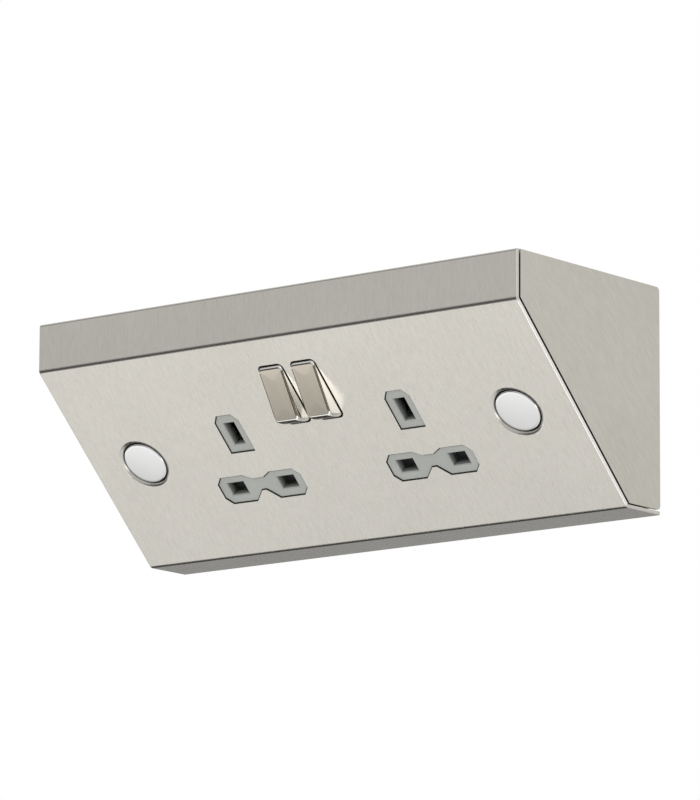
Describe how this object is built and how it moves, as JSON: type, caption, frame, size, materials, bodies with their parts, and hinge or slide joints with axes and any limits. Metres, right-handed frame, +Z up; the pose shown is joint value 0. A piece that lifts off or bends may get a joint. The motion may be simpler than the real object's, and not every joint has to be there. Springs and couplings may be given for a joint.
{
  "type": "twin switched socket",
  "caption": "Wedge-shaped brushed steel housing for the corner of a wall and a cabinet, with switched three-pin outlets and metal rockers on its sloping face.",
  "frame": {"origin": "middle of the rear face that sits on the wall", "axes": "+X to the right seen from the front, +Y into the wall, +Z up"},
  "size_m": [0.208, 0.0797, 0.0778],
  "materials": {
    "cover_steel": "brushed stainless steel, grain across the width of the folds",
    "box_steel": "brushed stainless steel",
    "cap_chrome": "polished chrome",
    "face_plastic": "satin grey moulding",
    "rocker_nickel": "satin nickel face, polished sides",
    "rocker_plastic": "black, moulded",
    "base_plastic": "ivory, moulded",
    "shutter_plastic": "black, moulded",
    "bush_plastic": "black, moulded",
    "brass": "stamped brass",
    "zinc_steel": "zinc plated",
    "spring_steel": "drawn wire",
    "silver": "silver alloy"
  },
  "bodies": {
    "housing": {"back_box": "box_steel", "base_screws": "zinc_steel", "box_earth_screw": "brass", "box_earth_terminal": "brass", "cable_bush": "bush_plastic", "cover_screws": "zinc_steel", "earth_strap": "brass", "fixed_buttons": "silver", "front_cover": "cover_steel", "front_moulding": "face_plastic", "live_bar": "brass", "live_contact_left": "brass", "live_contact_right": "brass", "mounting_studs": "zinc_steel", "neutral_strap": "brass", "screw_cap_left": "cap_chrome", "screw_cap_right": "cap_chrome", "shutter_spring_left": "spring_steel", "shutter_spring_right": "spring_steel", "stud_nuts": "zinc_steel", "terminal_base": "base_plastic", "terminal_screws": "brass"},
    "left_rocker": {"rocker_cap_left": "rocker_nickel", "rocker_body_left": "rocker_plastic", "plunger_spring_left": "spring_steel"},
    "left_plunger": {"plunger_left": "brass"},
    "left_arm": {"contact_arm_left": "brass", "arm_button_left": "silver"},
    "left_shutter": {"shutter_left": "shutter_plastic"},
    "right_rocker": {"rocker_cap_right": "rocker_nickel", "rocker_body_right": "rocker_plastic", "plunger_spring_right": "spring_steel"},
    "right_plunger": {"plunger_right": "brass"},
    "right_arm": {"contact_arm_right": "brass", "arm_button_right": "silver"},
    "right_shutter": {"shutter_right": "shutter_plastic"}
  },
  "joints": [
    {"name": "rocker_left", "type": "hinge", "parent": "housing", "child": "left_rocker", "pos_m": [-0.007, -0.06016, 0.00872], "axis": [1, 0, 0], "range_deg": [0, 29.4]},
    {"name": "plunger_left", "type": "slide", "parent": "left_rocker", "child": "left_plunger", "axis": [0, 0.8634, 0.5045], "range_m": [-0.0006, 0], "stiffness_N_per_m": 250, "springref_m": 0.002, "deforming": ["plunger_spring_left"]},
    {"name": "arm_left", "type": "hinge", "parent": "housing", "child": "left_arm", "pos_m": [-0.007, -0.05252, 0.01635], "axis": [1, 0, 0], "range_deg": [-20.01, 0]},
    {"name": "shutter_left", "type": "slide", "parent": "housing", "child": "left_shutter", "axis": [0, 0.7071, -0.7071], "range_m": [0, 0.006], "stiffness_N_per_m": 120, "springref_m": -0.004, "deforming": ["shutter_spring_left"]},
    {"name": "rocker_right", "type": "hinge", "parent": "housing", "child": "right_rocker", "pos_m": [0.007, -0.06016, 0.00872], "axis": [1, 0, 0], "range_deg": [0, 29.4]},
    {"name": "plunger_right", "type": "slide", "parent": "right_rocker", "child": "right_plunger", "axis": [0, 0.8634, 0.5045], "range_m": [-0.0006, 0], "stiffness_N_per_m": 250, "springref_m": 0.002, "deforming": ["plunger_spring_right"]},
    {"name": "arm_right", "type": "hinge", "parent": "housing", "child": "right_arm", "pos_m": [0.007, -0.05252, 0.01635], "axis": [1, 0, 0], "range_deg": [-20.01, 0]},
    {"name": "shutter_right", "type": "slide", "parent": "housing", "child": "right_shutter", "axis": [0, 0.7071, -0.7071], "range_m": [0, 0.006], "stiffness_N_per_m": 120, "springref_m": -0.004, "deforming": ["shutter_spring_right"]}
  ],
  "couplings": [
    {"joint": "arm_left", "follows": "rocker_left", "ratio": -0.68027},
    {"joint": "arm_right", "follows": "rocker_right", "ratio": -0.68027}
  ]
}
